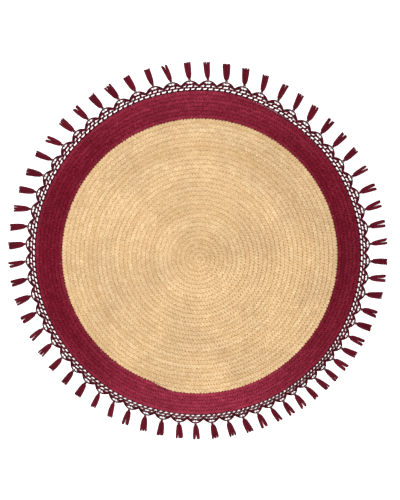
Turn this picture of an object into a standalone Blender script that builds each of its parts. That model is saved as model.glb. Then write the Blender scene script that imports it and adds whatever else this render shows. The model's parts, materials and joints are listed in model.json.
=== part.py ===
"""Round rug of coiled jute braid, with a dyed border, a scalloped lace edging and tassels.

Metres, +Z up. The origin is under the middle of the coil, on the surface that the rug lies on.
Directions round the rug are clock angles: degrees from +X, growing clockwise seen from above.
"""
import math
import random

import bmesh
import bpy
from mathutils import Matrix, Vector

# Coiled braid
NATURAL_PITCH = 0.0174        # from one turn of the natural braid to the next
NATURAL_TURNS = 31.5
NATURAL_THICKNESS = 0.0090
NATURAL_END_CLOCK = 101.0     # direction where the natural braid ends and the dyed one begins
BORDER_PITCH = 0.0148         # from one turn of the dyed braid to the next
BORDER_TURNS = 6.5625
BORDER_THICKNESS = 0.0085
TAPER_TURNS = 0.0625          # last stretch of the dyed braid, which narrows to its end
TAPER_END_WIDTH = 0.0030

# Lace edging
FOUNDATION_DIAMETER = 0.0030  # cord that the lace is worked on, sewn round the border
NET_THICKNESS = 0.0037
SCALLOP_CORD_DIAMETER = 0.0050
SCALLOP_CORD_RISE = 0.0017    # the tassels' loops pass under the cord and hold it off the floor
SCALLOPS = 64
VALLEY_HEIGHT = 0.0200        # from the border's edge out to the scallop cord, between two scallops
PEAK_HEIGHT = 0.0380          # and at the middle of a scallop
FIRST_PEAK_CLOCK = -16.6
GATHER_CENTRE = 12.0          # scallop round which the lace is gathered
GATHER_SCALLOPS = 22          # how many scallops the gathers reach over
GATHER = 0.24                 # how much narrower the tightest scallop is

# Tassels
TASSELS = 50                  # tassels that swing, each a piece of its own
TASSEL_LENGTH = 0.0720        # from the middle of the scallop cord to the cut ends
HEAD_WIDTH = 0.0022           # where the folded yarns leave the cord
HEAD_THICKNESS = 0.0020
KNOT_AT = 0.0040              # distance out from the head
KNOT_WIDTH = 0.0095
KNOT_THICKNESS = 0.0050
NECK_AT = 0.0110
NECK_WIDTH = 0.0080
NECK_THICKNESS = 0.0048
NECK_RISE = 0.0               # middle line's height above the cord's
SKIRT_AT = 0.0220
SKIRT_START = 0.75            # width where the skirt starts, as a share of its width at the ends
SKIRT_WIDTH = 0.0280          # across the cut ends
SKIRT_THICKNESS = 0.0085
SKIRT_RISE = 0.0003
LEAN_LEAST = 4.0              # degrees from straight out, towards smaller clock angles
LEAN_MOST = 14.0
LEAN_SPREAD = 3.0
LEAN_SEED = 7

GAP = 0.0003                  # between pieces that touch

INNER_STEPS = 16              # stations in each of the first turns
OUTER_STEPS = 32              # stations in each of the others
INNER_TURNS = 6
SCALLOP_STEPS = 4
TASSEL_SIDES = 6

NATURAL_COLOUR = (0.74, 0.52, 0.28)
BORDER_COLOUR = (0.165, 0.011, 0.024)
CORD_COLOUR = (0.190, 0.012, 0.030)
TASSEL_COLOUR = (0.205, 0.014, 0.033)

SCALLOP_CORD_RADIUS = SCALLOP_CORD_DIAMETER / 2
SWING_HEIGHT = SCALLOP_CORD_RISE + SCALLOP_CORD_RADIUS
BORDER_END = NATURAL_TURNS + BORDER_TURNS


def clear_scene():
    """Remove what is in the scene."""
    for thing in list(bpy.data.objects):
        bpy.data.objects.remove(thing, do_unlink=True)


def new_collection(name):
    """Make a collection in the scene."""
    group = bpy.data.collections.new(name)
    bpy.context.scene.collection.children.link(group)
    return group


def make_material(name, colour, roughness):
    """Make a plain fibre material."""
    material = bpy.data.materials.new(name)
    material.use_nodes = True
    shader = material.node_tree.nodes["Principled BSDF"]
    shader.inputs["Base Color"].default_value = (*colour, 1.0)
    shader.inputs["Roughness"].default_value = roughness
    shader.inputs["Metallic"].default_value = 0.0
    material.diffuse_color = (*colour, 1.0)
    return material


def on_clock(radius, clock, height=0.0):
    """Give the point at a radius and a clock angle."""
    angle = math.radians(-clock)
    return Vector((radius * math.cos(angle), radius * math.sin(angle), height))


# The coil: a place along it is told in turns from the middle.

def clock_at(turn):
    """Give the direction of a place along the coil."""
    return NATURAL_END_CLOCK + 360.0 * (turn - NATURAL_TURNS)


def inner_edge(turn):
    """Give the radius of the coil's inner edge."""
    last = NATURAL_TURNS + 1.0
    if turn <= last:
        return NATURAL_PITCH * (turn - 0.5)
    return NATURAL_PITCH * (last - 0.5) + BORDER_PITCH * (turn - last)


def outer_edge(turn):
    """Give the radius of the coil's outer edge, which meets the next turn's inner edge."""
    full = inner_edge(turn + 1.0)
    narrowing = (turn - (BORDER_END - TAPER_TURNS)) / TAPER_TURNS
    if narrowing <= 0.0:
        return full
    spare = full - inner_edge(turn) - TAPER_END_WIDTH
    return full - min(narrowing, 1.0) * spare


def stations(first, last):
    """List the places where the coil's outline has its points, ends included."""
    marks = [first]
    turn = first
    while turn < last - 1e-6:
        steps = INNER_STEPS if turn < INNER_TURNS - 1e-6 else OUTER_STEPS
        turn = min((math.floor(turn * steps + 1e-6) + 1) / steps, last)
        marks.append(turn)
    return marks


def rim(clock):
    """Give the radius of the finished border in a direction."""
    back = ((clock_at(BORDER_END) - clock) % 360.0) / 360.0
    return outer_edge(BORDER_END - back)


def add_spline(curve, points, closed=True):
    """Add straight runs through the points to a curve."""
    spline = curve.splines.new("POLY")
    spline.points.add(len(points) - 1)
    for target, point in zip(spline.points, points):
        target.co = (point.x, point.y, point.z, 1.0)
    spline.use_cyclic_u = closed


def flat_piece(name, outlines, thickness, material, group):
    """Make a flat piece that lies at height 0, from its outline and any hole's outline."""
    curve = bpy.data.curves.new(name, "CURVE")
    curve.dimensions = "2D"
    curve.fill_mode = "BOTH"
    curve.extrude = thickness / 2
    for outline in outlines:
        add_spline(curve, outline)
    piece = bpy.data.objects.new(name, curve)
    piece.location.z = thickness / 2
    curve.materials.append(material)
    group.objects.link(piece)
    return piece


def cord_piece(name, points, diameter, rise, resolution, material, group):
    """Make a closed round of cord through the points, with its underside at a rise."""
    curve = bpy.data.curves.new(name, "CURVE")
    curve.dimensions = "3D"
    curve.bevel_depth = diameter / 2
    curve.bevel_resolution = resolution
    add_spline(curve, points)
    piece = bpy.data.objects.new(name, curve)
    piece.location.z = rise + diameter / 2
    curve.materials.append(material)
    group.objects.link(piece)
    return piece


def braid_piece(name, first, last, thickness, material, group):
    """Make one length of flat braid, wound edge to edge from one place to another."""
    marks = stations(first, last)
    outer = [on_clock(outer_edge(turn) - GAP / 2, clock_at(turn)) for turn in marks]
    inner = [on_clock(inner_edge(turn) + GAP / 2, clock_at(turn)) for turn in marks]
    end_gap = GAP * (outer[0] - outer[1]).normalized()
    outer[0] -= end_gap
    inner[0] -= end_gap
    return flat_piece(name, [outer + inner[::-1]], thickness, material, group)


def rim_points(reach):
    """List points at a reach beyond the border's edge, in line with the coil's stations."""
    return [on_clock(rim(clock_at(BORDER_END - step / OUTER_STEPS)) + reach,
                     clock_at(BORDER_END - step / OUTER_STEPS))
            for step in range(OUTER_STEPS)]


def peak_clocks():
    """List the direction of each scallop's peak: evenly spaced, but for the gathers."""
    widths = []
    for index in range(SCALLOPS):
        offset = (index + 0.5 - GATHER_CENTRE) / GATHER_SCALLOPS
        pull = math.cos(math.pi * offset) ** 2 if abs(offset) < 0.5 else 0.0
        widths.append(1.0 - GATHER * pull)
    scale = 360.0 / sum(widths)
    return [FIRST_PEAK_CLOCK + scale * sum(widths[:index]) for index in range(SCALLOPS)]


def scallop_points(peaks):
    """List points along the scallop cord, from each peak to the next."""
    points = []
    for index, peak in enumerate(peaks):
        following = peaks[index + 1] if index + 1 < SCALLOPS else peaks[0] + 360.0
        for step in range(SCALLOP_STEPS):
            share = step / SCALLOP_STEPS
            clock = peak + share * (following - peak)
            across = 1.0 - abs(1.0 - 2.0 * share)
            height = PEAK_HEIGHT - (PEAK_HEIGHT - VALLEY_HEIGHT) * across ** 2
            points.append(on_clock(rim(clock) + height, clock))
    return points


def moved_inwards(points, distance):
    """Shift a closed outline towards the rug's middle, its sides parallel to the old ones."""
    moved = []
    for index, point in enumerate(points):
        before = (point - points[index - 1]).normalized()
        after = (points[(index + 1) % len(points)] - point).normalized()
        inward = Vector((before.y + after.y, -before.x - after.x, 0.0)).normalized()
        if inward.dot(point) > 0.0:
            inward.negate()
        mitre = math.sqrt((1.0 + before.dot(after)) / 2.0)
        moved.append(point + inward * (distance / mitre))
    return moved


def tassel_sections(sink):
    """List a tassel's sections: distance from the cord's middle, width, thickness and height."""
    start = SCALLOP_CORD_RADIUS + GAP
    return [
        (start - sink, HEAD_WIDTH, HEAD_THICKNESS, 0.0),
        (start + KNOT_AT, KNOT_WIDTH, KNOT_THICKNESS, NECK_RISE),
        (start + NECK_AT, NECK_WIDTH, NECK_THICKNESS, NECK_RISE),
        (start + SKIRT_AT, SKIRT_START * SKIRT_WIDTH, SKIRT_THICKNESS, SKIRT_RISE),
        (TASSEL_LENGTH, SKIRT_WIDTH, SKIRT_THICKNESS, SKIRT_RISE),
    ]


def tassel_mesh(name, sink):
    """Make a tassel that lies along +X, hung from the origin; sink starts it inside the cord."""
    mesh = bmesh.new()
    turn = Matrix.Rotation(math.pi / 2, 4, "Y")
    bmesh.ops.create_circle(mesh, cap_ends=True, segments=TASSEL_SIDES, radius=0.5, matrix=turn)
    face = next(iter(mesh.faces))
    for index, section in enumerate(tassel_sections(sink)):
        if index:
            grown = bmesh.ops.extrude_face_region(mesh, geom=[face])["geom"]
            if index > 1:
                bmesh.ops.delete(mesh, geom=[face], context="FACES_ONLY")
            face = next(item for item in grown if isinstance(item, bmesh.types.BMFace))
        place_section(face, *section)
    bmesh.ops.recalc_face_normals(mesh, faces=mesh.faces)
    data = bpy.data.meshes.new(name)
    mesh.to_mesh(data)
    mesh.free()
    return data


def place_section(face, distance, width, thickness, height):
    """Give a tassel's section its size and place."""
    span = max(abs(vert.co.y) for vert in face.verts)
    rise = max(abs(vert.co.z - face.calc_center_median().z) for vert in face.verts)
    middle = face.calc_center_median().z
    for vert in face.verts:
        vert.co.x = distance
        vert.co.y *= width / 2 / span
        vert.co.z = height + (vert.co.z - middle) * thickness / 2 / rise


def hang_tassel(name, data, peak, lean, group):
    """Place a tassel at a scallop's peak, with its origin on the cord's middle line."""
    piece = bpy.data.objects.new(name, data)
    piece.location = on_clock(rim(peak) + PEAK_HEIGHT, peak, SWING_HEIGHT)
    piece.rotation_euler.z = math.radians(lean - peak)
    group.objects.link(piece)
    return piece


def leans(peaks):
    """List how far each tassel leans, in degrees."""
    source = random.Random(LEAN_SEED)
    swing = (LEAN_MOST - LEAN_LEAST) / 2
    return [LEAN_LEAST + swing * (1.0 - math.cos(math.radians(peak)))
            + source.uniform(-LEAN_SPREAD, LEAN_SPREAD) for peak in peaks]


def solid_cord(name, curve_piece, group):
    """Turn a cord's curve into a mesh object of its own."""
    bpy.context.view_layer.update()
    evaluated = curve_piece.evaluated_get(bpy.context.evaluated_depsgraph_get())
    data = bpy.data.meshes.new_from_object(evaluated)
    mesh = bmesh.new()
    mesh.from_mesh(data)
    bmesh.ops.remove_doubles(mesh, verts=mesh.verts, dist=0.00001)
    mesh.to_mesh(data)
    mesh.free()
    piece = bpy.data.objects.new(name, data)
    piece.matrix_world = curve_piece.matrix_world
    bpy.data.objects.remove(curve_piece, do_unlink=True)
    piece.name = name
    group.objects.link(piece)
    return piece


def join_tassel(piece, tassel):
    """Make a tassel one solid with the cord that it is knotted to."""
    tassel.hide_render = True
    tassel.display_type = "WIRE"
    union = piece.modifiers.new(f"with_{tassel.name}", "BOOLEAN")
    union.operation = "UNION"
    union.solver = "EXACT"
    union.object = tassel


def make_coil(group):
    """Make the two braids."""
    natural = make_material("natural_jute", NATURAL_COLOUR, 0.9)
    dyed = make_material("dyed_jute", BORDER_COLOUR, 0.85)
    braid_piece("natural_braid", 0.5, NATURAL_TURNS, NATURAL_THICKNESS, natural, group)
    braid_piece("burgundy_braid", NATURAL_TURNS, BORDER_END, BORDER_THICKNESS, dyed, group)


def make_edging(peaks, group):
    """Make the lace edging's pieces and give its scallop cord."""
    cotton = make_material("dyed_cotton_cord", CORD_COLOUR, 0.8)
    cord_middle = GAP + FOUNDATION_DIAMETER / 2
    cord_piece("foundation_cord", rim_points(cord_middle), FOUNDATION_DIAMETER, 0.0, 1, cotton, group)
    edge = scallop_points(peaks)
    net_inner = rim_points(GAP + FOUNDATION_DIAMETER + GAP)
    net_outer = moved_inwards(edge, SCALLOP_CORD_RADIUS + GAP)
    flat_piece("lace_net", [net_outer, net_inner], NET_THICKNESS, cotton, group)
    return cord_piece("scallop_cord", edge, SCALLOP_CORD_DIAMETER, SCALLOP_CORD_RISE, 0, cotton, group)


def make_tassels(peaks, cord, group, cutters):
    """Hang the swinging tassels, and join the others to the scallop cord."""
    yarn = make_material("dyed_cotton_yarn", TASSEL_COLOUR, 0.8)
    hung = tassel_mesh("hung_tassel", 0.0)
    knotted = tassel_mesh("knotted_tassel", SCALLOP_CORD_RADIUS)
    hung.materials.append(yarn)
    knotted.materials.append(yarn)
    cord = solid_cord("scallop_cord", cord, group)
    for index, (peak, lean) in enumerate(zip(peaks, leans(peaks))):
        if index < TASSELS:
            hang_tassel(f"tassel_{index + 1:02d}", hung, peak, lean, group)
        else:
            join_tassel(cord, hang_tassel(f"joined_{index + 1:02d}", knotted, peak, lean, cutters))


def main():
    """Build the rug."""
    clear_scene()
    group = new_collection("braided_jute_rug")
    cutters = new_collection("cutters")
    peaks = peak_clocks()
    make_coil(group)
    cord = make_edging(peaks, group)
    make_tassels(peaks, cord, group, cutters)


main()
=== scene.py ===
"""Round jute rug: plaited strands, crocheted lace, yarn tassels, and the finishes that they wear.

Metres, +Z up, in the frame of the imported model. Directions round the rug are clock angles:
degrees from +X, growing clockwise seen from above.
"""
import json
import logging
import math
from collections.abc import Callable
from dataclasses import dataclass
from enum import Enum

import bmesh
import bpy
import numpy as np
from mathutils import Matrix, Vector

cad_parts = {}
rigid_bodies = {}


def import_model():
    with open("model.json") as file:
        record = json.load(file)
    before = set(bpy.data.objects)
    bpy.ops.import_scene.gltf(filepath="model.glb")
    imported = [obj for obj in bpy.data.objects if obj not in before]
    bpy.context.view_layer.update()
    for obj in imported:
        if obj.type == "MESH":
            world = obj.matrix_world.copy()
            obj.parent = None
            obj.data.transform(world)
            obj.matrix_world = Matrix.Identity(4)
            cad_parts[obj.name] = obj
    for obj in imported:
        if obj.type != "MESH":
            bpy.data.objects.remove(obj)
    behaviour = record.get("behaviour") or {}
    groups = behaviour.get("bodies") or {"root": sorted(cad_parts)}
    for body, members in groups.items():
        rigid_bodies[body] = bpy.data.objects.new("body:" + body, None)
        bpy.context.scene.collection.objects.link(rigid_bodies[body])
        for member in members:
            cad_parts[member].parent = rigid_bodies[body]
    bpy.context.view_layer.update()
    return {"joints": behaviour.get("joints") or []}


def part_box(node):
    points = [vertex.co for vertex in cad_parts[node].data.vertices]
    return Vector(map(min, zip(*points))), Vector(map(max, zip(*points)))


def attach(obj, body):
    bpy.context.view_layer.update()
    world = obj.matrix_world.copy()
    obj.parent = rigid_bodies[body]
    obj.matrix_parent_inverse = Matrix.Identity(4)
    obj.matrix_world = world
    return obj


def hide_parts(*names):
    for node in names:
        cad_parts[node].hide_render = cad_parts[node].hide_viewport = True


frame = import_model()

LOG = logging.getLogger("rug")
RUG = "rug"
FULL_TURN = 2.0 * math.pi
GOLDEN_ANGLE = 2.399963

Colour = tuple[float, float, float]
Reach = Callable[[np.ndarray], np.ndarray]


class Roll(Enum):
    """How a tube's section is kept from twisting along its line."""

    LEVEL = "Z_UP"
    LEAST = "MINIMUM"


# ---------------------------------------------------------------------------------------------
# Shader tools


class NodeSheet:
    """Short calls that add and join shader nodes on one tree."""

    def __init__(self, tree: bpy.types.NodeTree) -> None:
        """Keep the tree that the nodes go on."""
        self.tree = tree

    def add(self, kind: str, **settings: object) -> bpy.types.Node:
        """Add a node.

        Args:
            kind: the node's Blender type.
            settings: properties to set on it.

        Returns:
            The new node.
        """
        node = self.tree.nodes.new(kind)
        for name, value in settings.items():
            setattr(node, name, value)
        return node

    def feed(self, socket: bpy.types.NodeSocket, value: object) -> None:
        """Join an output to a socket, or set the socket to a plain value."""
        if isinstance(value, bpy.types.NodeSocket):
            self.tree.links.new(value, socket)
        else:
            socket.default_value = value

    def math(self, operation: str, *values: object) -> bpy.types.NodeSocket:
        """Work out one number from up to three others."""
        node = self.add("ShaderNodeMath", operation=operation)
        for socket, value in zip(node.inputs, values):
            self.feed(socket, value)
        return node.outputs[0]

    def remap(self, value: object, low: float, high: float,
              to_low: float = 0.0, to_high: float = 1.0) -> bpy.types.NodeSocket:
        """Move a number smoothly from one range to another."""
        node = self.add("ShaderNodeMapRange", interpolation_type="SMOOTHSTEP")
        for name, given in (("Value", value), ("From Min", low), ("From Max", high),
                            ("To Min", to_low), ("To Max", to_high)):
            self.feed(node.inputs[name], given)
        return node.outputs["Result"]

    def scaled(self, vector: object, x: object, y: object, z: object) -> bpy.types.NodeSocket:
        """Stretch a vector by a number along each axis."""
        factors = self.add("ShaderNodeCombineXYZ")
        for socket, value in zip(factors.inputs, (x, y, z)):
            self.feed(socket, value)
        node = self.add("ShaderNodeVectorMath", operation="MULTIPLY")
        self.feed(node.inputs[0], vector)
        self.feed(node.inputs[1], factors.outputs[0])
        return node.outputs[0]

    def noise(self, vector: object, scale: float, detail: float,
              roughness: float = 0.55) -> bpy.types.NodeSocket:
        """Give soft noise from 0 to 1 at a place."""
        node = self.add("ShaderNodeTexNoise")
        for name, given in (("Vector", vector), ("Scale", scale), ("Detail", detail),
                            ("Roughness", roughness)):
            self.feed(node.inputs[name], given)
        return node.outputs["Fac"]

    def mix(self, factor: object, first: object, second: object,
            blend: str = "MIX") -> bpy.types.NodeSocket:
        """Mix two colours."""
        node = self.add("ShaderNodeMix", data_type="RGBA", blend_type=blend)
        self.feed(node.inputs[0], factor)
        for socket, value in ((node.inputs[6], first), (node.inputs[7], second)):
            self.feed(socket, (*value, 1.0) if isinstance(value, tuple) else value)
        return node.outputs[2]

    def dimmed(self, colour: object, share: object) -> bpy.types.NodeSocket:
        """Multiply a colour by one number."""
        grey = self.add("ShaderNodeCombineXYZ")
        for socket in grey.inputs:
            self.feed(socket, share)
        return self.mix(1.0, colour, grey.outputs[0], "MULTIPLY")

    def attribute(self, name: str, output: str) -> bpy.types.NodeSocket:
        """Read one of the mesh's own attributes."""
        return self.add("ShaderNodeAttribute", attribute_name=name).outputs[output]


class Effect:
    """A shader node group that several finishes share."""

    made: dict[str, bpy.types.NodeTree] = {}

    def __init__(self, name: str, inputs: dict[str, str], outputs: list[str]) -> None:
        """Make the group and its named sockets.

        Args:
            name: the group's name.
            inputs: the kind of each input, by name.
            outputs: the names of its outputs, which are numbers.
        """
        self.tree = bpy.data.node_groups.new(name, "ShaderNodeTree")
        for label, kind in inputs.items():
            self.tree.interface.new_socket(label, in_out="INPUT", socket_type=kind)
        for label in outputs:
            self.tree.interface.new_socket(label, in_out="OUTPUT", socket_type="NodeSocketFloat")
        self.sheet = NodeSheet(self.tree)
        self.given = self.sheet.add("NodeGroupInput").outputs
        self.result = self.sheet.add("NodeGroupOutput").inputs

    @classmethod
    def use(cls, sheet: NodeSheet, name: str, **values: object) -> bpy.types.bpy_prop_collection:
        """Place a group in a material.

        Args:
            sheet: the material's nodes.
            name: which group, which is made the first time that it is asked for.
            values: what its inputs get, by name.

        Returns:
            The placed group's outputs.
        """
        if name not in cls.made:
            cls.made[name] = EFFECTS[name]()
        node = sheet.add("ShaderNodeGroup", node_tree=cls.made[name])
        for label, value in values.items():
            sheet.feed(node.inputs[label], value)
        return node.outputs


def strand_fibres() -> bpy.types.NodeTree:
    """Make the group that draws fibres lying along a strand."""
    effect = Effect("strand_fibres", {"Strand": "NodeSocketVector", "Along": "NodeSocketFloat",
                                      "Round": "NodeSocketFloat"}, ["Shade", "Height"])
    sheet, given = effect.sheet, effect.given
    broad = sheet.scaled(given["Strand"], given["Along"], given["Round"], given["Round"])
    coarse = sheet.noise(broad, 1.0, 3.0)
    fine = sheet.noise(broad, 3.1, 4.0, 0.65)
    both = sheet.math("ADD", sheet.math("MULTIPLY", coarse, 0.6), sheet.math("MULTIPLY", fine, 0.4))
    sheet.feed(effect.result["Shade"], sheet.remap(both, 0.34, 0.66))
    sheet.feed(effect.result["Height"], both)
    return effect.tree


def ply_twist() -> bpy.types.NodeTree:
    """Make the group that draws the grooves between a yarn's twisted plies."""
    effect = Effect("ply_twist", {"Strand": "NodeSocketVector", "Turns": "NodeSocketFloat",
                                  "Plies": "NodeSocketFloat"}, ["Groove", "Height"])
    sheet, given = effect.sheet, effect.given
    parts = sheet.add("ShaderNodeSeparateXYZ")
    sheet.feed(parts.inputs[0], given["Strand"])
    angle = sheet.math("ARCTAN2", parts.outputs[2], parts.outputs[1])
    around = sheet.math("MULTIPLY", angle, given["Plies"])
    along = sheet.math("MULTIPLY", sheet.math("MULTIPLY", parts.outputs[0], FULL_TURN), given["Turns"])
    wave = sheet.math("COSINE", sheet.math("ADD", around, along))
    sheet.feed(effect.result["Groove"], sheet.remap(wave, -1.0, -0.2, 1.0, 0.0))
    sheet.feed(effect.result["Height"], sheet.math("MULTIPLY_ADD", wave, 0.5, 0.5))
    return effect.tree


def dye_patches() -> bpy.types.NodeTree:
    """Make the group that gives soft uneven patches of tone over a piece."""
    effect = Effect("dye_patches", {"Place": "NodeSocketVector", "Per Metre": "NodeSocketFloat",
                                    "Least": "NodeSocketFloat", "Most": "NodeSocketFloat"}, ["Factor"])
    sheet, given = effect.sheet, effect.given
    soft = sheet.noise(given["Place"], given["Per Metre"], 2.0)
    node = sheet.add("ShaderNodeMapRange", interpolation_type="SMOOTHSTEP")
    for label, value in (("Value", soft), ("From Min", 0.35), ("From Max", 0.65),
                         ("To Min", given["Least"]), ("To Max", given["Most"])):
        sheet.feed(node.inputs[label], value)
    sheet.feed(effect.result["Factor"], node.outputs["Result"])
    return effect.tree


def bark_specks() -> bpy.types.NodeTree:
    """Make the group that scatters small dark flecks of bark along a strand."""
    effect = Effect("bark_specks", {"Strand": "NodeSocketVector", "Amount": "NodeSocketFloat"}, ["Mask"])
    sheet, given = effect.sheet, effect.given
    place = sheet.scaled(given["Strand"], 170.0, 1.3, 1.3)
    spots = sheet.noise(place, 1.0, 1.0)
    sheet.feed(effect.result["Mask"],
               sheet.math("MULTIPLY", sheet.remap(spots, 0.69, 0.76), given["Amount"]))
    return effect.tree


def hollow_shade() -> bpy.types.NodeTree:
    """Make the group that tells how deep between the strands a place lies."""
    effect = Effect("hollow_shade", {"Place": "NodeSocketVector", "Top": "NodeSocketFloat"}, ["Depth"])
    sheet, given = effect.sheet, effect.given
    parts = sheet.add("ShaderNodeSeparateXYZ")
    sheet.feed(parts.inputs[0], given["Place"])
    height = sheet.math("DIVIDE", parts.outputs[2], given["Top"])
    sheet.feed(effect.result["Depth"], sheet.remap(height, 0.30, 0.92, 1.0, 0.0))
    return effect.tree


EFFECTS = {"strand_fibres": strand_fibres, "ply_twist": ply_twist, "dye_patches": dye_patches,
           "bark_specks": bark_specks, "hollow_shade": hollow_shade}


# ---------------------------------------------------------------------------------------------
# Finishes


@dataclass(frozen=True)
class Finish:
    """What every fibre finish has: three tones, how rough it is and how much it shines edge-on."""

    name: str
    deep: Colour
    middle: Colour
    light: Colour
    roughness: float
    sheen: float
    bump: float

    def start(self) -> tuple[bpy.types.Material, NodeSheet, bpy.types.Node]:
        """Make the material with its shader's fixed values set."""
        material = bpy.data.materials.new(self.name)
        material.use_nodes = True
        shader = material.node_tree.nodes["Principled BSDF"]
        shader.inputs["Sheen Weight"].default_value = self.sheen
        shader.inputs["Sheen Roughness"].default_value = 0.45
        shader.inputs["Sheen Tint"].default_value = (*self.light, 1.0)
        shader.inputs["Specular IOR Level"].default_value = 0.08
        material.diffuse_color = (*self.middle, 1.0)
        return material, NodeSheet(material.node_tree), shader

    def raise_surface(self, sheet: NodeSheet, shader: bpy.types.Node, height: object) -> None:
        """Feed a height to the shader's normal."""
        bump = sheet.add("ShaderNodeBump")
        sheet.feed(bump.inputs["Height"], height)
        bump.inputs["Strength"].default_value = 1.0
        bump.inputs["Distance"].default_value = self.bump
        sheet.feed(shader.inputs["Normal"], bump.outputs["Normal"])


@dataclass(frozen=True)
class JuteFinish(Finish):
    """Coarse plaited jute: long fibres, uneven tone and, where it is undyed, flecks of bark."""

    speck: Colour = (0.1, 0.05, 0.02)
    speck_amount: float = 0.0
    thickness: float = 0.009
    hollow_shade: float = 0.08

    def material(self) -> bpy.types.Material:
        """Make the material."""
        material, sheet, shader = self.start()
        strand = sheet.attribute("strand", "Vector")
        tone = sheet.attribute("tone", "Fac")
        place = sheet.add("ShaderNodeTexCoord").outputs["Object"]
        fibres = Effect.use(sheet, "strand_fibres", Strand=strand, Along=34.0, Round=6.5)
        patches = Effect.use(sheet, "dye_patches", Place=place, **{"Per Metre": 4.0, "Least": 0.93,
                                                                   "Most": 1.06})
        specks = Effect.use(sheet, "bark_specks", Strand=strand, Amount=self.speck_amount)
        hollow = Effect.use(sheet, "hollow_shade", Place=place, Top=self.thickness)
        pale = sheet.mix(tone, self.middle, self.light)
        colour = sheet.mix(sheet.remap(fibres["Shade"], 0.0, 1.0, 0.0, 1.0), self.deep, pale)
        colour = sheet.mix(specks["Mask"], colour, self.speck)
        hollowed = sheet.math("SUBTRACT", 1.0, sheet.math("MULTIPLY", hollow["Depth"], self.hollow_shade))
        share = sheet.math("MULTIPLY", patches["Factor"], hollowed)
        sheet.feed(shader.inputs["Base Color"], sheet.dimmed(colour, share))
        sheet.feed(shader.inputs["Roughness"],
                   sheet.math("MULTIPLY_ADD", fibres["Shade"], -0.12, self.roughness))
        self.raise_surface(sheet, shader, fibres["Height"])
        return material


@dataclass(frozen=True)
class YarnFinish(Finish):
    """Dyed cotton yarn or cord: twisted plies with painted shade in the grooves between them, fine fibres
    and a soft sheen.
    """

    turns: float = 110.0
    plies: float = 3.0
    # painted shade: how far the grooves between plies are darkened towards the deep tone
    groove: float = 0.5

    def material(self) -> bpy.types.Material:
        """Make the material."""
        material, sheet, shader = self.start()
        strand = sheet.attribute("strand", "Vector")
        tone = sheet.attribute("tone", "Fac")
        place = sheet.add("ShaderNodeTexCoord").outputs["Object"]
        fibres = Effect.use(sheet, "strand_fibres", Strand=strand, Along=160.0, Round=3.0)
        twist = Effect.use(sheet, "ply_twist", Strand=strand, Turns=self.turns, Plies=self.plies)
        patches = Effect.use(sheet, "dye_patches", Place=place, **{"Per Metre": 9.0, "Least": 0.85,
                                                                   "Most": 1.12})
        pale = sheet.mix(tone, self.middle, self.light)
        colour = sheet.mix(sheet.math("MULTIPLY_ADD", fibres["Shade"], 0.6, 0.4), self.deep, pale)
        # Painted shade: the grooves between the plies are darkened towards the deep tone.
        colour = sheet.mix(sheet.math("MULTIPLY", twist["Groove"], self.groove), colour, self.deep)
        sheet.feed(shader.inputs["Base Color"], sheet.dimmed(colour, patches["Factor"]))
        sheet.feed(shader.inputs["Roughness"],
                   sheet.math("MULTIPLY_ADD", twist["Groove"], 0.1, self.roughness))
        height = sheet.math("MULTIPLY_ADD", fibres["Height"], 0.35, twist["Height"])
        self.raise_surface(sheet, shader, height)
        return material


@dataclass(frozen=True)
class FloorFinish:
    """Plain pale studio floor that glows a little, as a light table does."""

    colour: Colour = (0.93, 0.93, 0.93)
    roughness: float = 0.9
    glow: float = 0.60

    def material(self) -> bpy.types.Material:
        """Make the material."""
        material = bpy.data.materials.new("studio_floor")
        material.use_nodes = True
        sheet = NodeSheet(material.node_tree)
        shader = material.node_tree.nodes["Principled BSDF"]
        shader.inputs["Specular IOR Level"].default_value = 0.1
        shader.inputs["Roughness"].default_value = self.roughness
        shader.inputs["Emission Color"].default_value = (*self.colour, 1.0)
        shader.inputs["Emission Strength"].default_value = self.glow
        place = sheet.add("ShaderNodeTexCoord").outputs["Object"]
        soft = sheet.noise(place, 1.3, 2.0)
        darker = tuple(0.985 * part for part in self.colour)
        sheet.feed(shader.inputs["Base Color"], sheet.mix(soft, darker, self.colour))
        return material


# ---------------------------------------------------------------------------------------------
# Lines and tubes


@dataclass
class Strand:
    """A line that a tube follows, with the section's size and turn, and a tone, at each point."""

    points: np.ndarray
    size: np.ndarray | float = 1.0
    turn: np.ndarray | float = 0.0
    tone: np.ndarray | float = 0.5
    closed: bool = False

    def at_points(self, values: np.ndarray | float) -> np.ndarray:
        """Spread one number over all the points, or keep the list of them."""
        return np.broadcast_to(np.asarray(values, float), (len(self.points),))

    def along(self) -> np.ndarray:
        """Give each point's distance from the start."""
        steps = np.linalg.norm(np.diff(self.points, axis=0), axis=1)
        return np.concatenate(([0.0], np.cumsum(steps)))


@dataclass(frozen=True)
class Section:
    """An oval section, by its half width, half height and number of sides."""

    half_width: float
    half_height: float
    sides: int

    def angles(self) -> np.ndarray:
        """List the directions of its corners."""
        return np.arange(self.sides) * FULL_TURN / self.sides

    def line(self) -> bpy.types.Object:
        """Make the closed line that a tube's curve is bevelled with."""
        data = bpy.data.curves.new("section", "CURVE")
        data.dimensions = "2D"
        data.fill_mode = "NONE"
        spline = data.splines.new("POLY")
        spline.points.add(self.sides - 1)
        for point, angle in zip(spline.points, self.angles()):
            point.co = (self.half_width * math.cos(angle), self.half_height * math.sin(angle), 0.0, 1.0)
        spline.use_cyclic_u = True
        return bpy.data.objects.new("section", data)


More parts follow.
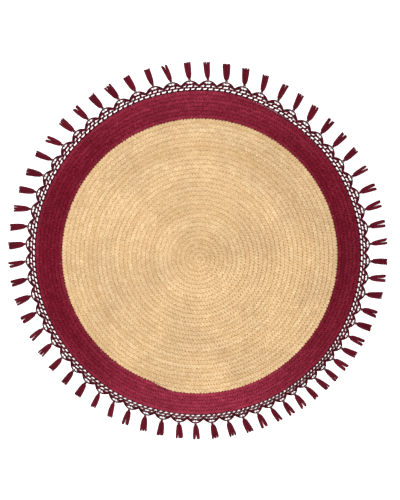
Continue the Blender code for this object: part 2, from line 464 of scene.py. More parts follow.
def sweep(name: str, strands: list[Strand], section: Section, roll: Roll,
          material: bpy.types.Material) -> bpy.types.Object:
    """Make closed tubes along strands, as one mesh object at the origin.

    Args:
        name: the piece's name.
        strands: the lines to follow.
        section: the tubes' section at size 1.
        roll: how the section is kept from twisting.
        material: the finish.

    Returns:
        The piece, with the attributes "strand" (distance along, and direction round) and "tone".
    """
    data = bpy.data.curves.new(name, "CURVE")
    data.dimensions = "3D"
    data.twist_mode = roll.value
    profile = section.line()
    data.bevel_mode = "OBJECT"
    data.bevel_object = profile
    for strand in strands:
        spline = data.splines.new("POLY")
        spline.points.add(len(strand.points) - 1)
        places = np.column_stack((strand.points, np.ones(len(strand.points))))
        spline.points.foreach_set("co", places.astype(np.float32).ravel())
        spline.points.foreach_set("radius", strand.at_points(strand.size).astype(np.float32))
        spline.points.foreach_set("tilt", strand.at_points(strand.turn).astype(np.float32))
        spline.use_cyclic_u = strand.closed
    line = bpy.data.objects.new(f"{name}_line", data)
    scene = bpy.context.scene.collection.objects
    scene.link(line)
    scene.link(profile)
    bpy.context.view_layer.update()
    evaluated = line.evaluated_get(bpy.context.evaluated_depsgraph_get())
    mesh = bpy.data.meshes.new_from_object(evaluated)
    bpy.data.objects.remove(line, do_unlink=True)
    bpy.data.objects.remove(profile, do_unlink=True)
    mark_strands(mesh, strands, section)
    close_ends(mesh)
    mesh.name = name
    mesh.materials.clear()
    mesh.materials.append(material)
    piece = bpy.data.objects.new(name, mesh)
    scene.link(piece)
    return piece


def mark_strands(mesh: bpy.types.Mesh, strands: list[Strand], section: Section) -> None:
    """Write on a tube mesh where each vertex lies on its strand, and the strand's tone.

    Args:
        mesh: the tubes, whose vertices follow the strands ring by ring.
        strands: the lines that the tubes follow.
        section: the section that they have.
    """
    angles = section.angles()
    places, tones = [], []
    offset = 0.0
    for strand in strands:
        along = np.repeat(strand.along() + offset, section.sides)
        count = len(strand.points)
        places.append(np.column_stack((along, np.tile(np.cos(angles), count),
                                       np.tile(np.sin(angles), count))))
        tones.append(np.repeat(strand.at_points(strand.tone), section.sides))
        offset += 0.377
    strand_layer = mesh.attributes.new("strand", "FLOAT_VECTOR", "POINT")
    strand_layer.data.foreach_set("vector", np.concatenate(places).astype(np.float32).ravel())
    tone_layer = mesh.attributes.new("tone", "FLOAT", "POINT")
    tone_layer.data.foreach_set("value", np.concatenate(tones).astype(np.float32))


def close_ends(mesh: bpy.types.Mesh) -> None:
    """Close a tube mesh's open ends, and turn its faces outwards and smooth."""
    shape = bmesh.new()
    shape.from_mesh(mesh)
    rims = [edge for edge in shape.edges if edge.is_boundary]
    bmesh.ops.holes_fill(shape, edges=rims, sides=0)
    bmesh.ops.recalc_face_normals(shape, faces=shape.faces)
    for face in shape.faces:
        face.smooth = True
    shape.to_mesh(mesh)
    shape.free()


def ease(share: np.ndarray) -> np.ndarray:
    """Ease numbers between 0 and 1, so that they start and end slowly."""
    return share * share * (3.0 - 2.0 * share)


def drift(source: np.random.Generator, along: np.ndarray, spacing: float) -> np.ndarray:
    """Give a smooth random wander along a line.

    Args:
        source: where the random numbers come from.
        along: distances along the line.
        spacing: distance from one random value to the next.

    Returns:
        A number at each distance, mostly between -1 and 1.
    """
    count = int(along[-1] / spacing) + 3
    knots = source.uniform(-1.0, 1.0, count)
    where = along / spacing
    index = where.astype(int)
    share = ease(where - index)
    return knots[index] * (1.0 - share) + knots[index + 1] * share


def on_clock(radius: np.ndarray, clock: np.ndarray) -> np.ndarray:
    """Give the points, X and Y, at radii and clock angles."""
    angle = np.radians(-np.asarray(clock, float))
    return np.column_stack((radius * np.cos(angle), radius * np.sin(angle)))


def sideways(points: np.ndarray, closed: bool = False) -> np.ndarray:
    """Give the level direction across a line at each point, on its left."""
    if closed:
        ahead = np.roll(points, -1, axis=0) - np.roll(points, 1, axis=0)
    else:
        ahead = np.gradient(points, axis=0)
    across = np.column_stack((-ahead[:, 1], ahead[:, 0]))
    return across / np.maximum(np.linalg.norm(across, axis=1), 1e-9)[:, None]


def plied(path: np.ndarray, offset: np.ndarray | float, pitch: float, plies: int, tone: float,
          size: np.ndarray | float = 1.0, closed: bool = False, flat: float = 1.0) -> list[Strand]:
    """Lay plies round a path, as in a twisted cord.

    Args:
        path: points along the cord's middle.
        offset: how far a ply's middle is from the cord's.
        pitch: length of one twist.
        plies: how many there are.
        tone: the cord's tone.
        size: the plies' size along the path.
        closed: whether the path is a closed round.
        flat: the cord's height as a share of its width.

    Returns:
        The plies' strands.
    """
    along = Strand(path).along()
    length = along[-1]
    if closed:
        length += float(np.linalg.norm(path[0] - path[-1]))
        pitch = length / max(1, round(length / pitch))
    across = sideways(path, closed)
    result = []
    for ply in range(plies):
        phase = FULL_TURN * (along / pitch + ply / plies)
        moved = path.copy()
        moved[:, :2] += across * (offset * np.cos(phase))[:, None]
        moved[:, 2] += flat * offset * np.sin(phase)
        result.append(Strand(moved, size=size, tone=tone, closed=closed))
    return result


def dress(piece: bpy.types.Object, body: str, nodes: tuple[str, ...] = ()) -> None:
    """Put a piece on its body, hide the solids that it stands in for, and log its number of faces."""
    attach(piece, body)
    if nodes:
        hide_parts(*nodes)
    LOG.info("%s: %d faces on %s", piece.name, len(piece.data.polygons), body)


# ---------------------------------------------------------------------------------------------
# The coil


@dataclass(frozen=True)
class Coil:
    """The spiral that both braids lie along. A place on it is told in turns from the middle."""

    natural_pitch: float = 0.0174
    natural_turns: float = 31.5
    natural_end_clock: float = 101.0
    start_turn: float = 0.02
    thread_start_turn: float = -0.45
    border_pitch: float = 0.0148
    border_turns: float = 6.5625
    join_turns: float = 0.03
    join_end_share: float = 0.25
    taper_turns: float = 0.0625
    taper_end_width: float = 0.0030
    steps_per_turn: int = 720

    @property
    def end_turn(self) -> float:
        """Give the place where the border's braid ends."""
        return self.natural_turns + self.border_turns

    def clock(self, turn: np.ndarray) -> np.ndarray:
        """Give the direction of places along the coil."""
        return self.natural_end_clock + 360.0 * (turn - self.natural_turns)

    def natural_share(self, turn: np.ndarray) -> np.ndarray:
        """Give the undyed braid's share of the width: it narrows as the dyed one is worked in."""
        return np.clip((self.natural_turns - turn) / self.join_turns + 1.0, self.join_end_share, 1.0)

    def border_share(self, turn: np.ndarray) -> np.ndarray:
        """Give the dyed braid's share of the width, which grows from the join."""
        return np.clip((turn - self.natural_turns) / self.join_turns, self.join_end_share, 1.0)

    def inner_edge(self, turn: np.ndarray) -> np.ndarray:
        """Give the radius of the coil's inner edge."""
        last = self.natural_turns + 1.0
        natural = self.natural_pitch * (np.minimum(turn, last) - 0.5)
        return natural + self.border_pitch * np.maximum(turn - last, 0.0)

    def outer_edge(self, turn: np.ndarray) -> np.ndarray:
        """Give the radius of the coil's outer edge, which meets the next turn's inner edge."""
        full = self.inner_edge(turn + 1.0)
        narrowing = np.clip((turn - self.end_turn) / self.taper_turns + 1.0, 0.0, 1.0)
        return full - narrowing * (full - self.inner_edge(turn) - self.taper_end_width)

    def rim(self, clock: np.ndarray) -> np.ndarray:
        """Give the radius of the finished border in each direction."""
        back = ((self.clock(self.end_turn) - clock) % 360.0) / 360.0
        return self.outer_edge(self.end_turn - back)

    def middle_line(self, first: float, last: float, step: float) -> tuple[np.ndarray, ...]:
        """List places along the middle of the braid, a set distance apart.

        Args:
            first: where to start, in turns.
            last: where to end.
            step: the distance between two places.

        Returns:
            Each place in turns, its distance along, its point, and the outward direction there.
        """
        fine = np.linspace(first, last, int((last - first) * self.steps_per_turn))
        points = self.middle(fine)
        along = Strand(points).along()
        count = int(round(along[-1] / step))
        wanted = np.linspace(0.0, along[-1], count + 1)
        turns = np.interp(wanted, along, fine)
        points = self.middle(turns)
        outward = sideways(points)
        outward *= np.sign(np.sum(outward * points, axis=1))[:, None]
        return turns, wanted, points, outward

    def middle(self, turn: np.ndarray) -> np.ndarray:
        """Give points on the middle line of the braid."""
        return on_clock((self.inner_edge(turn) + self.outer_edge(turn)) / 2.0, self.clock(turn))


@dataclass(frozen=True)
class Plait:
    """One length of flat three-strand jute braid, wound edge to edge in the coil."""

    coil: Coil
    node: str
    slot: str
    finish: JuteFinish
    first_turn: float
    last_turn: float
    width: float
    cycle: float
    seed: int
    dyed: bool
    centre_tone: float = 0.5
    unevenness: float = 1.0
    # painted sheen: how much paler the strands are painted towards the top and bottom of the view, most
    # at the bottom, standing in for light catching the fibres
    painted_sheen: float = 0.0
    strands: int = 3
    stations: int = 10
    swing: float = 0.268
    half_width: float = 0.345
    half_height: float = 0.235
    rise: float = 0.255
    roll: float = 20.0
    wander: float = 3.0
    end_length: float = 0.012

    def build(self) -> list[bpy.types.Object]:
        """Make and dress the three strands."""
        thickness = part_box(self.node)[1].z
        section = Section(self.half_width * self.width, self.half_height * thickness, 6)
        material = self.finish.material()
        places = self.coil.middle_line(self.first_turn, self.last_turn, self.cycle / self.stations)
        source = np.random.default_rng(self.seed)
        shared = drift(source, places[1], 1.7)
        wander = self.wander * drift(source, places[1], 0.4)
        pieces = []
        for number in range(self.strands):
            strand = self.strand(number, places, thickness, (shared, wander), source)
            piece = sweep(f"{self.node}_strand_{number + 1}", [strand], section, Roll.LEVEL, material)
            dress(piece, RUG, (self.node,))
            pieces.append(piece)
        return pieces

    def strand(self, number: int, places: tuple[np.ndarray, ...], thickness: float,
               common: tuple[np.ndarray, np.ndarray], source: np.random.Generator) -> Strand:
        """Work out one strand's way through the plait.

        Args:
            number: which strand.
            places: the braid's middle line, as the coil gives it.
            thickness: the braid's thickness.
            common: what all three share along the braid: slow changes of tone and of phase.
            source: where the random numbers come from.

        Returns:
            The strand.
        """
        turns, along, points, outward = places
        shared, wander = common
        width = self.coil.outer_edge(turns) - self.coil.inner_edge(turns)
        narrow = np.clip(width / self.width, 0.3, 1.0)
        share = self.coil.border_share(turns) if self.dyed else self.coil.natural_share(turns)
        aside = 1.0 - share if self.dyed else share - 1.0
        points = points + outward * (aside * width / 2.0)[:, None]
        narrow = narrow * share
        ends = np.minimum(along, along[-1] - along) / self.end_length
        narrow = narrow * np.clip(0.75 + 0.25 * ends, 0.0, 1.0)
        phase = FULL_TURN * (along / self.cycle + number / self.strands)
        phase = phase + wander + 0.25 * drift(source, along, 0.11)
        over = np.sin(2.0 * phase)
        reach = self.swing * width * narrow ** 0.5 * np.sin(phase)
        reach = reach * (1.0 + 0.06 * drift(source, along, 0.05))
        reach = reach + 0.02 * self.width * drift(source, along, 0.09)
        size = narrow * (1.0 + 0.09 * drift(source, along, 0.027))
        height = thickness / 2.0 + self.rise * thickness * over * narrow
        height = height + 0.03 * thickness * drift(source, along, 0.06)
        lowest = self.half_height * thickness * size
        flat = points + outward * reach[:, None]
        line = np.column_stack((flat, np.maximum(height, lowest)))
        turn = math.radians(self.roll) * np.sin(phase) * over
        uneven = 0.22 * shared + 0.3 * drift(source, along, 0.02) + 0.16 * drift(source, along, 0.4)
        tone = self.centre_tone + self.unevenness * uneven
        # Painted sheen: the strands are painted paler towards the top and bottom of the view, most at the
        # bottom, where light would catch the fibres that run across.
        facing = np.sin(np.radians(self.coil.clock(turns)))
        tone = tone + self.painted_sheen * facing ** 4 * np.where(facing > 0.0, 1.0, 0.6)
        return Strand(line, size=size, turn=turn, tone=np.clip(tone, 0.0, 1.0))


@dataclass(frozen=True)
class LooseFibres:
    """Short fibres that stand out of a braid."""

    coil: Coil
    name: str
    slot: str
    node: str
    finish: JuteFinish
    first_turn: float
    last_turn: float
    count: int
    seed: int
    shortest: float = 0.007
    longest: float = 0.022
    thickness: float = 0.00022

    def build(self) -> bpy.types.Object:
        """Make and dress the fibres."""
        source = np.random.default_rng(self.seed)
        low, high = self.first_turn ** 2, self.last_turn ** 2
        turns = np.sqrt(source.uniform(low, high, self.count))
        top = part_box(self.node)[1].z
        strands = [self.fibre(turn, top, source) for turn in turns]
        section = Section(self.thickness, self.thickness, 3)
        piece = sweep(self.name, strands, section, Roll.LEAST, self.finish.material())
        dress(piece, RUG)
        return piece

    def fibre(self, turn: float, top: float, source: np.random.Generator) -> Strand:
        """Bend one fibre up out of the braid and over."""
        radius = source.uniform(self.coil.inner_edge(turn), self.coil.outer_edge(turn))
        start = on_clock(radius, self.coil.clock(turn))[0]
        heading = source.uniform(0.0, FULL_TURN)
        length = source.uniform(self.shortest, self.longest)
        bend = source.uniform(-1.2, 1.2)
        lift = source.uniform(0.10, 0.30) * length
        points = []
        for share in np.linspace(0.0, 1.0, 6):
            angle = heading + bend * share
            reach = length * share
            points.append((start[0] + reach * math.cos(angle), start[1] + reach * math.sin(angle),
                           top - 0.0012 + lift * math.sin(math.pi * 0.8 * share)))
        return Strand(np.array(points), size=np.linspace(1.0, 0.4, 6), tone=source.uniform(0.5, 1.0))


@dataclass(frozen=True)
class SewingThread:
    """The thread that joins each turn to the next, in a zigzag low in the groove between them."""

    coil: Coil
    name: str
    finish: YarnFinish
    first_turn: float
    last_turn: float
    stitch: float = 0.0100
    round_off: float = 0.0012
    reach: float = 0.0019
    height: float = 0.0050
    thickness: float = 0.00180

    def build(self) -> bpy.types.Object:
        """Make and dress the thread."""
        steps = int((self.last_turn - self.first_turn) * self.coil.steps_per_turn)
        fine = np.linspace(self.first_turn, self.last_turn, steps)
        edge = on_clock(self.coil.outer_edge(fine), self.coil.clock(fine))
        along = Strand(edge).along()
        crossings = np.arange(0.0, along[-1] - self.stitch, self.stitch / 2.0)
        places = np.column_stack((crossings - self.round_off, crossings + self.round_off)).ravel()
        turns = np.interp(places, along, fine)
        sides = np.repeat(np.where(np.arange(len(crossings)) % 2, 1.0, -1.0), 2)
        radius = self.coil.outer_edge(turns) + sides * self.reach
        flat = on_clock(radius, self.coil.clock(turns))
        line = np.column_stack((flat, np.full(len(turns), self.height)))
        section = Section(self.thickness, self.thickness, 4)
        piece = sweep(self.name, [Strand(line)], section, Roll.LEVEL, self.finish.material())
        dress(piece, RUG)
        return piece


# ---------------------------------------------------------------------------------------------
# The lace


@dataclass(frozen=True)
class Round:
    """The scallops' places round the rug: clock angles of their peaks, in order, closed."""

    coil: Coil
    peaks: np.ndarray

    @classmethod
    def from_frame(cls, coil: Coil, scallops: int) -> "Round":
        """Read the swinging tassels' places, and share out the rest of the round evenly."""
        found = []
        for joint in frame["joints"]:
            x, y, _ = joint["pos_m"]
            found.append(-math.degrees(math.atan2(y, x)))
        clocks = np.degrees(np.unwrap(np.radians(found)))
        spare = scallops - len(clocks)
        rest = np.linspace(clocks[-1], clocks[0] + 360.0, spare + 2)[1:-1]
        return cls(coil, np.concatenate((clocks, rest)))

    def clock(self, place: np.ndarray) -> np.ndarray:
        """Give the direction of a place told in scallops from the first peak."""
        count = len(self.peaks)
        marks = np.concatenate((self.peaks[-1:] - 360.0, self.peaks, self.peaks[:2] + 360.0))
        return np.interp(place, np.arange(-1, count + 2), marks)

    def width(self, place: float) -> float:
        """Give the width of the scallop at a place, along the border's edge."""
        start, end = self.clock(np.array([place - 0.5, place + 0.5]))
        return float(self.coil.rim(start) * math.radians(end - start))

    def points(self, place: np.ndarray, reach: np.ndarray, height: np.ndarray | float) -> np.ndarray:
        """Give points at places round the rug, at reaches beyond the border and at a height."""
        clock = self.clock(place)
        flat = on_clock(self.coil.rim(clock) + reach, clock)
        return np.column_stack((flat, np.broadcast_to(height, (len(flat),))))


@dataclass(frozen=True)
class Lace:
    """The crocheted edging: rows of chain with short posts between them, under a scallop cord."""

    ring: Round
    finish: YarnFinish
    slot: str
    hinge_height: float
    peak: float = 0.0380
    valley: float = 0.0200
    foundation_reach: float = 0.0030
    first_row: float = 0.0135
    second_row: float = 0.0244
    second_row_valley: float = 0.0180
    cells: int = 3
    cord_offset: float = 0.00115
    cord_half_width: float = 0.00148
    cord_half_height: float = 0.00110
    cord_flat: float = 0.68
    cord_pitch: float = 0.0105
    lining_gap: float = 0.0048
    eye_half: float = 0.09
    eye_side: float = 0.11
    eye_depth: float = 0.0062
    post_spacing: float = 0.0031
    post_radius: float = 0.00172
    bunching: float = 0.35
    net_height: float = 0.0021
    tie_height: float = 0.0013
    edge_offset: float = 0.00175
    edge_radius: float = 0.00180
    edge_pitch: float = 0.0150
    stitch_radius: float = 0.0008
    stitches_per_scallop: int = 7
    steps: int = 30
    edge_steps: int = 36

    def build(self) -> list[bpy.types.Object]:
        """Make and dress the lace's pieces."""
        material = self.finish.material()
        cord = Section(self.cord_half_width, self.cord_half_height, 6)
        edge = Section(self.edge_radius, self.edge_radius, 5)
        foundation = sweep("foundation_cord_yarn", self.foundation(), cord, Roll.LEVEL, material)
        dress(foundation, RUG, ("foundation_cord",))
        stitch = Section(self.stitch_radius, self.stitch_radius, 4)
        stitches = sweep("whip_stitches", self.stitches(), stitch, Roll.LEAST, material)
        dress(stitches, RUG)
        net = sweep("lace_net_chains", self.chains(), cord, Roll.LEVEL, material)
        dress(net, RUG, ("lace_net",))
        post = Section(self.post_radius, self.post_radius, 5)
        posts = sweep("lace_net_posts", self.posts(), post, Roll.LEVEL, material)
        dress(posts, RUG, ("lace_net",))
        scallops = sweep("scallop_cord_yarn", self.scallops(), edge, Roll.LEVEL, material)
        dress(scallops, RUG, ("scallop_cord",))
        return [foundation, stitches, net, posts, scallops]

    def round_places(self, steps: int) -> np.ndarray:
        """List places all round the rug, in scallops."""
        count = len(self.ring.peaks)
        return np.arange(count * steps) / steps

    def foundation(self) -> list[Strand]:
        """Lay the cord that the lace is worked on."""
        places = self.round_places(self.steps)
        path = self.ring.points(places, self.foundation_reach, self.net_height)
        return plied(path, self.cord_offset, self.cord_pitch, 2, 0.4, closed=True, flat=self.cord_flat)

    def first_reach(self, place: np.ndarray) -> np.ndarray:
        """Give how far out the first chain lies."""
        return self.first_row + 0.0016 * np.cos(FULL_TURN * self.cells * place)

    def second_reach(self, place: np.ndarray) -> np.ndarray:
        """Give how far out the second chain lies; it dips between two scallops."""
        away = np.abs(place - np.round(place)) * 2.0
        dip = ease(np.clip((away - 0.5) / 0.5, 0.0, 1.0))
        wave = 0.0014 * np.cos(FULL_TURN * self.cells * (place + 0.5 / self.cells)) * (1.0 - dip)
        return self.second_row + wave - (self.second_row - self.second_row_valley) * dip

    def edge_reach(self, place: np.ndarray) -> np.ndarray:
        """Give how far out the scallop cord lies."""
        away = np.abs(place - np.round(place)) * 2.0
        return self.peak - (self.peak - self.valley) * away ** 2.1

    def lining_reach(self, place: np.ndarray) -> np.ndarray:
        """Give how far out the chain lies that the cord is worked on; an eye is left at each peak."""
        beside = np.clip((np.abs(place - np.round(place)) - self.eye_half) / self.eye_side, 0.0, 1.0)
        eye = self.eye_depth * (1.0 - ease(beside))
        return np.maximum(self.edge_reach(place) - self.lining_gap - eye, self.second_row_valley)

    def chains(self) -> list[Strand]:
        """Lay the net's rounds of chain, from the border out to the scallop cord."""
        places = self.round_places(self.steps)
        strands = []
        rounds = ((0.5, self.first_reach(places)), (0.6, self.second_reach(places)),
                  (0.4, self.lining_reach(places)))
        for tone, reach in rounds:
            path = self.ring.points(places, reach, self.net_height)
            strands += plied(path, self.cord_offset, self.cord_pitch, 2, tone, closed=True,
                             flat=self.cord_flat)
        return strands

    def posts(self) -> list[Strand]:
        """Stand the posts between the rounds, staggered from row to row, and the peaks' ties."""
        strands = []
        source = np.random.default_rng(11)
        rows = ((0.0, lambda place: np.full_like(place, self.foundation_reach), self.first_reach),
                (0.5, self.first_reach, self.second_reach))
        for shift, inner, outer in rows:
            for number in range(len(self.ring.peaks) * self.cells):
                middle = (number + shift) / self.cells + source.uniform(-0.02, 0.02)
                strands += self.post(middle, inner, outer, source)
        for number in range(len(self.ring.peaks)):
            for side in (-1.0, 1.0):
                middle = number + side * 0.30
                strands += self.post(middle, self.second_reach, self.lining_reach, source)
            strands.append(self.tie(number))
        return strands

    def post(self, middle: float, inner: Reach, outer: Reach,
             source: np.random.Generator) -> list[Strand]:
        """Lay one post of three strands, which leans and draws in at its middle.

        Args:
            middle: its place, in scallops.
            inner: gives the reach of the round that it starts on.
            outer: gives the reach of the round that it ends on.
            source: where the random numbers come from.

        Returns:
            The post's strands.
        """
        share = np.linspace(0.0, 1.0, 5)
        lean = source.uniform(0.02, 0.06)
        near = max(0.0, math.sin(math.radians(self.ring.clock(np.array([middle]))[0])))
        spacing = self.post_spacing * (1.0 + self.bunching * near) / self.ring.width(middle)
        strands = []
        for offset in (-1.0, 0.0, 1.0):
            fan = 0.80 + 0.75 * (2.0 * share - 1.0) ** 2
            places = middle + lean * (2.0 * share - 1.0) + offset * spacing * fan
            reach = inner(places) * (1.0 - share) + outer(places) * share
            rise = np.clip((reach - self.second_row) / 0.006, 0.0, 1.0)
            height = self.net_height + 0.0012 * rise * share - 0.0003 * abs(offset)
            strands.append(Strand(self.ring.points(places, reach, height), size=1.05,
                                  tone=source.uniform(0.3, 0.7)))
        return strands

    def tie(self, number: int) -> Strand:
        """Lay the strand from the second round up to a scallop's peak."""
        share = np.linspace(0.0, 1.0, 6)
        places = np.full(6, float(number))
        reach = self.second_reach(places) * (1.0 - share) + (self.peak - 0.001) * share
        height = self.tie_height + (self.hinge_height - self.tie_height - 0.001) * share ** 4
        size = np.array([1.2, 0.9, 0.75, 0.7, 0.65, 0.6])
        return Strand(self.ring.points(places, reach, height), size=size, tone=0.5)

    def scallops(self) -> list[Strand]:
        """Lay the scallop cord, thinner at each peak where a tassel's loops hold it."""
        places = self.round_places(self.edge_steps)
        reach = self.edge_reach(places)
        path = self.ring.points(places, reach, self.hinge_height)
        away = np.abs(places - np.round(places))
        slim = 0.70 + 0.30 * np.clip((away - 0.05) / 0.08, 0.0, 1.0)
        return plied(path, self.edge_offset * slim, self.edge_pitch, 3, 0.45, size=slim, closed=True)

    def stitches(self) -> list[Strand]:
        """Whip the foundation cord to the border with short stitches."""
        strands = []
        source = np.random.default_rng(5)
        for number in range(len(self.ring.peaks) * self.stitches_per_scallop):
            place = (number + source.uniform(-0.2, 0.2)) / self.stitches_per_scallop
            slant = source.uniform(0.02, 0.04)
            places = place + slant * np.array([0.0, 0.2, 0.5, 0.8, 1.0])
            reach = np.array([-0.0035, -0.0010, 0.0026, 0.0052, 0.0058])
            height = np.array([0.0052, 0.0068, 0.0050, 0.0036, 0.0016])
            points = self.ring.points(places, reach, height)
            strands.append(Strand(points, tone=source.uniform(0.3, 0.8)))
        return strands


# ---------------------------------------------------------------------------------------------
# The tassels


@dataclass(frozen=True)
class Hanger:
    """Where one tassel hangs: the middle of its loops, the way that it lies, and what carries it."""

    name: str
    body: str
    nodes: tuple[str, ...]
    hinge: Vector
    out: Vector

    def world(self, local: np.ndarray) -> np.ndarray:
        """Turn points told as outwards, sideways and up from the hinge into the rug's frame."""
        side = Vector((-self.out.y, self.out.x, 0.0))
        axes = np.array((self.out, side, (0.0, 0.0, 1.0)))
        return np.asarray(local) @ axes + np.array(self.hinge)


@dataclass(frozen=True)
class Tassels:
    """Every tassel: yarn looped over the scallop cord, bound at the neck and cut square."""

    ring: Round
    yarn: YarnFinish
    binding: YarnFinish
    slot: str
    hinge_height: float
    peak: float = 0.0380
    length: float = 0.0720
    yarns: int = 48
    yarn_radius: float = 0.00145
    loop_ring: float = 0.0033
    loop_radius: float = 0.0008
    loop_sides: tuple[float, ...] = (-0.0042, -0.0027, 0.0027, 0.0042)
    neck_half_width: float = 0.0034
    neck_half_height: float = 0.0016
    skirt_half_width: float = 0.0140
    skirt_half_height: float = 0.0027
    fullness: float = 0.7
    binding_start: float = 0.0055
    binding_end: float = 0.0105
    binding_turns: float = 3.5

    def build(self) -> int:
        """Make and dress every tassel, and give their number."""
        yarn = self.yarn.material()
        binding = self.binding.material()
        hangers = self.swinging() + self.fixed()
        for number, hanger in enumerate(hangers):
            source = np.random.default_rng(100 + number)
            skirt = self.skirt(hanger, source)
            piece = sweep(f"{hanger.name}_yarns", skirt, Section(self.yarn_radius, self.yarn_radius, 5),
                          Roll.LEAST, yarn)
            dress(piece, hanger.body, hanger.nodes)
            loops = sweep(f"{hanger.name}_loops", self.loops(hanger) + [self.wrap(hanger)],
                          Section(self.loop_radius, self.loop_radius, 5), Roll.LEAST, binding)
            dress(loops, hanger.body)
        return len(hangers)

    def swinging(self) -> list[Hanger]:
        """List the hangers of the tassels that have a hinge."""
        hangers = []
        for joint in frame["joints"]:
            axis = joint["axis"]
            out = Vector((-axis[1], axis[0], 0.0)).normalized()
            name = joint["child"]
            hangers.append(Hanger(name, name, (name,), Vector(joint["pos_m"]), out))
        return hangers

    def fixed(self) -> list[Hanger]:
        """List the hangers of the tassels that the scallop cord's solid holds."""
        hangers = []
        source = np.random.default_rng(31)
        first = len(frame["joints"])
        for number in range(first, len(self.ring.peaks)):
            clock = self.ring.peaks[number]
            place, reach = np.array([float(number)]), np.array([self.peak])
            spot = self.ring.points(place, reach, self.hinge_height)[0]
            lean = 9.0 - 5.0 * math.cos(math.radians(clock)) + source.uniform(-3.0, 3.0)
            angle = math.radians(lean - clock)
            out = Vector((math.cos(angle), math.sin(angle), 0.0))
            hangers.append(Hanger(f"tassel_{number + 1:02d}", RUG, (), Vector(spot), out))
        return hangers

    def skirt(self, hanger: Hanger, source: np.random.Generator) -> list[Strand]:
        """Lay one tassel's hanging yarns.

        Args:
            hanger: where the tassel hangs.
            source: where its random numbers come from.

        Returns:
            The yarns' strands.
        """
        spread = source.uniform(0.88, 1.18)
        bend = source.uniform(-0.005, 0.005)
        clumps = np.linspace(-0.72, 0.72, source.integers(2, 5))
        clumps = clumps + source.uniform(-0.12, 0.12, len(clumps))
        tone = source.uniform(0.35, 0.65)
        marks = np.array([0.0040, 0.0090, 0.0145, 0.0220, 0.0340, 0.0480, 0.0600, 1.0])
        strands = []
        for number in range(self.yarns):
            radius = math.sqrt((number + 0.5) / self.yarns)
            angle = number * GOLDEN_ANGLE
            across, up = radius * math.cos(angle), radius * math.sin(angle)
            across = math.copysign(abs(across) ** self.fullness, across)
            clump = clumps[np.argmin(np.abs(clumps - across))]
            end = self.length + source.uniform(-0.0045, 0.0005)
            reach = np.minimum(marks, end)
            share = np.clip((reach - 0.0105) / (self.length - 0.0105), 0.0, 1.0)
            opened = share ** 0.30
            pull = 0.34 * share ** 3.0
            lateral = across * (1.0 - pull) + clump * pull
            widening = self.skirt_half_width * spread - self.neck_half_width
            half = self.neck_half_width + widening * opened
            thickening = self.skirt_half_height - self.neck_half_height
            thick = self.neck_half_height + thickening * share ** 0.35
            side = lateral * half + bend * share ** 2 + source.uniform(-0.0011, 0.0011) * share ** 2
            side = side + 0.0005 * np.sin(reach * 260.0 + source.uniform(0.0, FULL_TURN)) * share
            rise = up * thick + 0.0003 * share
            size = 0.48 + 0.52 * np.clip(share * 4.0, 0.0, 1.0)
            size[-1] *= 0.8
            local = np.column_stack((reach, side, rise))
            yarn_tone = np.clip(tone + source.uniform(-0.3, 0.3), 0.0, 1.0)
            strands.append(Strand(hanger.world(local), size=size, tone=yarn_tone))
        return strands

    def loops(self, hanger: Hanger) -> list[Strand]:
        """Lay the loops that go over and under the scallop cord and back to the neck."""
        strands = []
        around = np.radians(np.arange(60.0, 301.0, 30.0))
        for side in self.loop_sides:
            ring = [(self.loop_ring * math.cos(angle), side, self.loop_ring * math.sin(angle))
                    for angle in around]
            neck = side * 0.72
            over = [(0.0100, neck, 0.0011), (0.0065, side * 0.85, 0.0018), (0.0036, side, 0.0028)]
            under = [(x, y, -z) for x, y, z in reversed(over)]
            strands.append(Strand(hanger.world(np.array(over + ring + under)), tone=0.45))
        return strands

    def wrap(self, hanger: Hanger) -> Strand:
        """Wind the binding round the neck."""
        count = int(self.binding_turns * 9)
        share = np.linspace(0.0, 1.0, count)
        angle = FULL_TURN * self.binding_turns * share
        reach = self.binding_start + (self.binding_end - self.binding_start) * share
        width = self.neck_half_width + 0.0013
        height = self.neck_half_height + 0.0013
        local = np.column_stack((reach, width * np.cos(angle), height * np.sin(angle)))
        return Strand(hanger.world(local), tone=0.7)


# ---------------------------------------------------------------------------------------------
# Studio


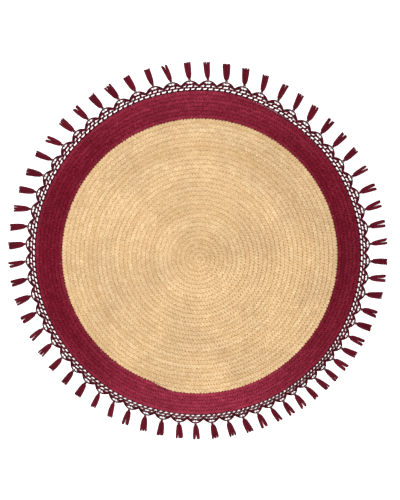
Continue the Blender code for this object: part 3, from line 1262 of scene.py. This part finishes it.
@dataclass(frozen=True)
class Studio:
    """Plain pale floor, soft light and the camera above the rug."""

    distance: float = 2.6
    tilt: float = 7.5
    seen_height: float = 1.99
    aim: tuple[float, float] = (0.005, 0.034)
    floor_half: float = 8.0
    floor_drop: float = 0.0004
    sky: float = 0.66

    def build(self) -> None:
        """Set the floor, the lights and the camera."""
        self.floor()
        self.lights()
        self.camera()
        bpy.context.scene.view_settings.view_transform = "Standard"

    def floor(self) -> None:
        """Lay the floor."""
        shape = bmesh.new()
        bmesh.ops.create_grid(shape, x_segments=1, y_segments=1, size=self.floor_half,
                              matrix=Matrix.Translation((0.0, 0.0, -self.floor_drop)))
        mesh = bpy.data.meshes.new("studio_floor")
        shape.to_mesh(mesh)
        shape.free()
        mesh.materials.append(FloorFinish().material())
        floor = bpy.data.objects.new("studio_floor", mesh)
        bpy.context.scene.collection.objects.link(floor)

    def lights(self) -> None:
        """Hang a broad soft lamp overhead and a weaker one past the rug's near edge."""
        world = bpy.data.worlds.new("studio")
        world.use_nodes = True
        world.node_tree.nodes["Background"].inputs["Color"].default_value = (1.0, 1.0, 1.0, 1.0)
        world.node_tree.nodes["Background"].inputs["Strength"].default_value = self.sky
        bpy.context.scene.world = world
        self.lamp("overhead", (-0.7, 1.2, 2.6), 2.2, 72.0)
        self.lamp("near_side", (0.2, -2.6, 1.3), 1.6, 54.0)

    def lamp(self, name: str, place: tuple[float, float, float], size: float, power: float) -> None:
        """Hang a square lamp that faces the rug's middle."""
        data = bpy.data.lights.new(name, "AREA")
        data.energy = power
        data.size = size
        lamp = bpy.data.objects.new(name, data)
        lamp.location = place
        lamp.rotation_euler = (-Vector(place)).to_track_quat("-Z", "Y").to_euler()
        bpy.context.scene.collection.objects.link(lamp)

    def camera(self) -> None:
        """Stand the camera almost straight above."""
        data = bpy.data.cameras.new("above")
        data.sensor_width = 36.0
        data.lens = data.sensor_width * self.distance / self.seen_height
        tilt = math.radians(self.tilt)
        camera = bpy.data.objects.new("above", data)
        camera.location = (self.aim[0], self.aim[1] + self.distance * math.sin(tilt),
                           self.distance * math.cos(tilt))
        camera.rotation_euler = (-tilt, 0.0, 0.0)
        bpy.context.scene.collection.objects.link(camera)
        bpy.context.scene.camera = camera


NATURAL_JUTE = JuteFinish("natural_jute_fibre", deep=(0.45, 0.28, 0.132), middle=(0.61, 0.405, 0.205),
                          light=(0.81, 0.62, 0.38), roughness=0.90, sheen=0.05, bump=0.0006,
                          speck=(0.20, 0.10, 0.04), speck_amount=0.8, thickness=0.0090)
PALE_FIBRE = JuteFinish("pale_loose_fibre", deep=(0.66, 0.46, 0.24), middle=(0.80, 0.60, 0.34),
                        light=(0.92, 0.76, 0.50), roughness=0.85, sheen=0.0, bump=0.0001,
                        thickness=0.0050)
# The border's light tone is also what its painted sheen pales the strands towards at the top and bottom
# of the view.
BURGUNDY_JUTE = JuteFinish("burgundy_jute_fibre", deep=(0.085, 0.0015, 0.0075),
                           middle=(0.145, 0.0030, 0.0150), light=(0.430, 0.0430, 0.0860),
                           roughness=0.85, sheen=0.0, bump=0.0006, thickness=0.0085)
# Each yarn's groove value sets the painted shade in the grooves between its plies.
LACE_COTTON = YarnFinish("burgundy_lace_cotton", deep=(0.022, 0.0010, 0.0030),
                         middle=(0.085, 0.0040, 0.0110), light=(0.130, 0.0085, 0.0200),
                         roughness=0.78, sheen=0.03, bump=0.0004, turns=150.0, plies=3.0, groove=0.55)
TASSEL_YARN = YarnFinish("burgundy_tassel_yarn", deep=(0.040, 0.0016, 0.0050),
                         middle=(0.122, 0.0050, 0.0160), light=(0.195, 0.0120, 0.0290),
                         roughness=0.80, sheen=0.0, bump=0.0005, turns=125.0, plies=3.0, groove=0.4)
LOOP_YARN = YarnFinish("burgundy_loop_yarn", deep=(0.022, 0.0010, 0.0030),
                       middle=(0.085, 0.0040, 0.0110), light=(0.135, 0.0090, 0.0210),
                       roughness=0.80, sheen=0.03, bump=0.0003, turns=190.0, plies=2.0, groove=0.45)
NATURAL_THREAD = YarnFinish("natural_thread_fibre", deep=(0.50, 0.34, 0.17), middle=(0.70, 0.51, 0.29),
                            light=(0.84, 0.68, 0.44), roughness=0.7, sheen=0.0, bump=0.0001,
                            turns=400.0, plies=2.0, groove=0.4)


def main() -> None:
    """Build the rug's looks in order."""
    logging.basicConfig(level=logging.INFO, format="%(name)s: %(message)s")
    coil = Coil()
    ring = Round.from_frame(coil, scallops=64)
    hinge_height = frame["joints"][0]["pos_m"][2]
    natural = Plait(coil, "natural_braid", "natural_jute", NATURAL_JUTE, coil.start_turn,
                    coil.natural_turns + coil.join_turns, coil.natural_pitch, cycle=0.036, seed=3,
                    dyed=False)
    # The border braid carries a painted sheen that pales its strands towards the top and bottom of the
    # view.
    border = Plait(coil, "burgundy_braid", "burgundy_jute", BURGUNDY_JUTE, coil.natural_turns,
                   coil.end_turn, coil.border_pitch, cycle=0.031, seed=4, dyed=True,
                   centre_tone=0.12, unevenness=0.6, painted_sheen=0.75)
    natural.build()
    border.build()
    LooseFibres(coil, "loose_natural_fibres", "natural_jute", "natural_braid", PALE_FIBRE,
                1.0, coil.natural_turns, count=1800, seed=21).build()
    LooseFibres(coil, "loose_burgundy_fibres", "burgundy_jute", "burgundy_braid", BURGUNDY_JUTE,
                coil.natural_turns + 1.0, coil.end_turn - 1.0, count=700, seed=22).build()
    SewingThread(coil, "natural_sewing_thread", NATURAL_THREAD, coil.thread_start_turn,
                 coil.natural_turns - 1.0).build()
    SewingThread(coil, "burgundy_sewing_thread", LOOP_YARN, coil.natural_turns - 1.0,
                 coil.end_turn - 1.0).build()
    Lace(ring, LACE_COTTON, "burgundy_cotton_cord", hinge_height).build()
    count = Tassels(ring, TASSEL_YARN, LOOP_YARN, "burgundy_tassel_yarn", hinge_height).build()
    LOG.info("%d tassels", count)
    Studio().build()


if __name__ == "__main__":
    main()
